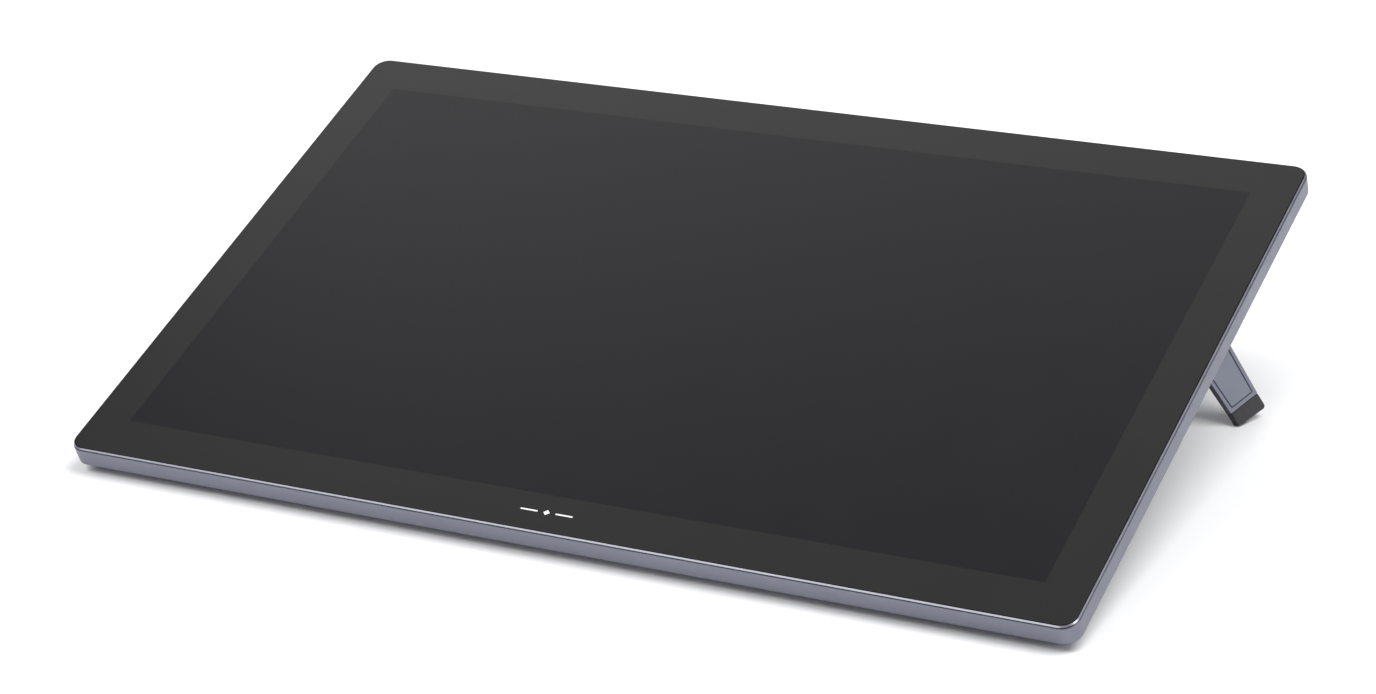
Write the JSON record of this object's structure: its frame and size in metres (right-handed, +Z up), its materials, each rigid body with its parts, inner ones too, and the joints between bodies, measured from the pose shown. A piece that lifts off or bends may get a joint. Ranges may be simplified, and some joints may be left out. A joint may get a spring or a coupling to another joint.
{
  "type": "pen drawing tablet",
  "caption": "Large pen display tablet with a flat glass front, slim metal tray, rear ports and two legs that fold out of the back.",
  "frame": {"origin": "middle of the bounding box on the tabletop", "axes": "+X to the user's right along the long side, +Y away from the user, +Z up"},
  "size_m": [0.6522, 0.379, 0.1395],
  "materials": {
    "glass": "etched matt, dark display behind",
    "aluminium": "anodised grey, fine satin",
    "rubber": "matt",
    "dark_plastic": "fine texture",
    "dark_steel": "black oxide",
    "plated_steel": "plated",
    "spring_steel": "tempered",
    "brass": "machined",
    "black_tape": "adhesive tape",
    "panel": "liquid crystal cell",
    "film": "optical film",
    "clear_acrylic": "clear acrylic",
    "circuit_green": "solder mask",
    "cable_amber": "polyimide film"
  },
  "bodies": {
    "tablet": {"backlight_tray": "plated_steel", "button_board": "circuit_green", "cover_glass": "glass", "data_socket_left": "plated_steel", "data_socket_right": "plated_steel", "diffuser_film": "film", "digitizer_board": "circuit_green", "digitizer_controller": "circuit_green", "front_foot_left": "rubber", "front_foot_right": "rubber", "front_frame": "aluminium", "glass_adhesive": "black_tape", "lcd_cell": "panel", "led_light_bar": "circuit_green", "left_friction_washer_lower": "spring_steel", "left_friction_washer_upper": "spring_steel", "left_hinge_bracket": "dark_steel", "left_hinge_pin": "plated_steel", "light_guide_plate": "clear_acrylic", "main_board": "circuit_green", "panel_cable": "cable_amber", "port_bezel": "dark_plastic", "power_socket": "plated_steel", "rear_cover": "aluminium", "rear_pad_left": "rubber", "rear_pad_right": "rubber", "rear_screw_1": "dark_steel", "rear_screw_2": "dark_steel", "rear_screw_3": "dark_steel", "rear_screw_4": "dark_steel", "rear_screw_5": "dark_steel", "rear_screw_6": "dark_steel", "rear_screw_7": "dark_steel", "rear_screw_8": "dark_steel", "reflector_sheet": "film", "right_friction_washer_lower": "spring_steel", "right_friction_washer_upper": "spring_steel", "right_hinge_bracket": "dark_steel", "right_hinge_pin": "plated_steel", "shield_can": "plated_steel", "shield_plate": "plated_steel", "vesa_bracket": "dark_steel", "vesa_insert_1": "brass", "vesa_insert_2": "brass", "vesa_insert_3": "brass", "vesa_insert_4": "brass", "video_socket_large": "plated_steel", "video_socket_small": "plated_steel"},
    "left_leg": {"left_leg_body": "dark_plastic", "left_leg_foot": "rubber", "left_leg_plate": "aluminium"},
    "right_leg": {"right_leg_body": "dark_plastic", "right_leg_foot": "rubber", "right_leg_plate": "aluminium"},
    "power_button": {"power_button": "dark_plastic"},
    "menu_button_down": {"menu_button_down": "dark_plastic"},
    "menu_button_up": {"menu_button_up": "dark_plastic"}
  },
  "joints": [
    {"name": "left_leg_hinge", "type": "hinge", "parent": "tablet", "child": "left_leg", "pos_m": [-0.2503, 0.11898, 0.09875], "axis": [0.4067, -0.8688, -0.2823], "range_deg": [0, 125.8]},
    {"name": "right_leg_hinge", "type": "hinge", "parent": "tablet", "child": "right_leg", "pos_m": [0.2503, 0.11898, 0.09875], "axis": [0.4067, 0.8688, 0.2823], "range_deg": [0, 125.8]},
    {"name": "power_button_press", "type": "slide", "parent": "tablet", "child": "power_button", "axis": [0, -0.9511, -0.309], "range_m": [0, 0.0006], "stiffness_N_per_m": 400, "springref_m": -0.0005},
    {"name": "menu_button_down_press", "type": "slide", "parent": "tablet", "child": "menu_button_down", "axis": [0, -0.9511, -0.309], "range_m": [0, 0.0006], "stiffness_N_per_m": 400, "springref_m": -0.0005},
    {"name": "menu_button_up_press", "type": "slide", "parent": "tablet", "child": "menu_button_up", "axis": [0, -0.9511, -0.309], "range_m": [0, 0.0006], "stiffness_N_per_m": 400, "springref_m": -0.0005}
  ]
}
